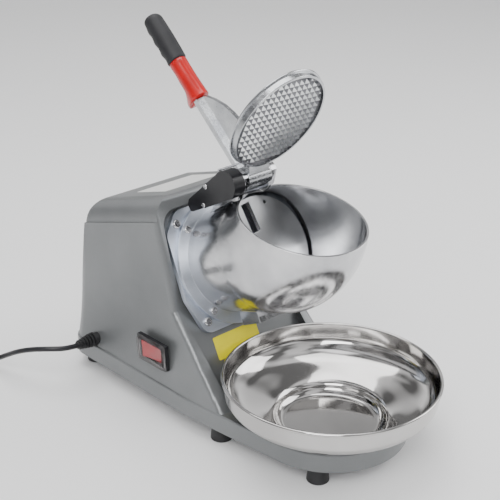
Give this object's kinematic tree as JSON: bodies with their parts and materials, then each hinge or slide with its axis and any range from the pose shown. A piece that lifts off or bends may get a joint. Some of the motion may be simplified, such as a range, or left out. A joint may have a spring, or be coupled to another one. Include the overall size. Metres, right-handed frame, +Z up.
{
  "type": "shaved ice machine",
  "caption": "Countertop ice shaver: sloped metal casing, tilted drum and hopper with a hinged press lever, driven cutter disc, removable steel catch bowl, rocker switch and mains lead.",
  "frame": {"origin": "centre of the footprint's bounding box on the table, the free mains lead left out", "axes": "+Z up; the bowl faces -Y; the mains switch and lead are on the -X side"},
  "size_m": [0.509, 0.6605, 0.4857],
  "materials": {
    "grey_paint": "satin metallic grey paint",
    "cast_alu": "fine cast aluminium, brushed",
    "polished_alu": "polished cast aluminium",
    "stainless": "polished stainless steel",
    "brushed": "brushed stainless steel",
    "steel": "zinc plated steel",
    "rubber": "matte black rubber",
    "black_plastic": "matte black plastic",
    "red_plastic": "glossy red plastic",
    "rocker_red": "translucent red plastic",
    "clear_boot": "clear flexible cover",
    "white_label": "blank printed film",
    "yellow_label": "blank printed film",
    "can_plastic": "moulded plastic",
    "belt": "fabric backed rubber"
  },
  "bodies": {
    "frame": {"housing_shell": "grey_paint", "base_pan": "grey_paint", "bottom_plate": "steel", "foot_screws": "steel", "drum_flange": "cast_alu", "hopper": "polished_alu", "hopper_screws": "steel", "flange_screws": "steel", "bearing_front": "steel", "bearing_rear": "steel", "drive_belt": "belt", "motor_can": "steel", "motor_bell_front": "cast_alu", "motor_bell_rear": "cast_alu", "motor_bracket": "steel", "motor_screws": "steel", "hinge_pin": "steel", "switch_cover": "black_plastic", "switch_bracket": "steel", "cover_screws": "steel", "safety_switch": "black_plastic", "switch_body": "black_plastic", "switch_boot": "clear_boot", "strain_relief": "rubber", "power_cord": "rubber", "cord_coil": "rubber", "cord_tail": "rubber", "plug_body": "rubber", "plug_pins": "steel", "capacitor": "can_plastic", "capacitor_clip": "steel", "terminal_block": "can_plastic", "top_label": "white_label", "front_label": "yellow_label", "foot_rear_left": "rubber", "foot_rear_right": "rubber", "foot_mid_left": "rubber", "foot_mid_right": "rubber", "foot_front_left": "rubber", "foot_front_right": "rubber"},
    "lever": {"press_arm": "polished_alu", "cross_pin": "steel", "press_plate": "polished_alu", "press_plate_screws": "steel", "grip_red": "red_plastic", "grip_black": "black_plastic", "lever_cam": "black_plastic"},
    "plunger": {"switch_plunger": "black_plastic"},
    "rocker": {"power_rocker": "rocker_red"},
    "spindle": {"spindle_shaft": "steel", "cutter_disc": "brushed", "blades": "brushed", "blade_screws": "steel", "driven_pulley": "cast_alu", "spindle_nut": "steel"},
    "rotor": {"motor_rotor": "steel", "drive_pulley": "cast_alu", "cooling_fan": "black_plastic"},
    "bowl": {"ice_bowl": "stainless"}
  },
  "joints": [
    {"name": "lever_hinge", "type": "hinge", "parent": "frame", "child": "lever", "pos_m": [0, 0.012, 0.3155], "axis": [1, 0, 0], "range_deg": [0, 127.8]},
    {"name": "plunger_slide", "type": "slide", "parent": "frame", "child": "plunger", "axis": [0, 0.8202, -0.5721], "range_m": [0, 0.00205]},
    {"name": "mains_switch", "type": "hinge", "parent": "frame", "child": "rocker", "pos_m": [-0.10301, 0.081, 0.08621], "axis": [0.0698, 0, -0.9976], "range_deg": [0, 16]},
    {"name": "spindle_spin", "type": "hinge", "parent": "frame", "child": "spindle", "pos_m": [0, -0.0126, 0.2249], "axis": [0, -0.8934, 0.4493], "continuous": true},
    {"name": "rotor_spin", "type": "hinge", "parent": "frame", "child": "rotor", "pos_m": [0, -0.03956, 0.1713], "axis": [0, -0.8934, 0.4493], "continuous": true},
    {"name": "bowl_lift", "type": "slide", "parent": "frame", "child": "bowl", "axis": [0, -0.8387, 0.5446], "range_m": [0, 0.3]}
  ],
  "couplings": [
    {"joint": "plunger_slide", "follows": "lever_hinge", "m_per_rad": 0.00089665},
    {"joint": "rotor_spin", "follows": "spindle_spin", "ratio": 4.2}
  ]
}
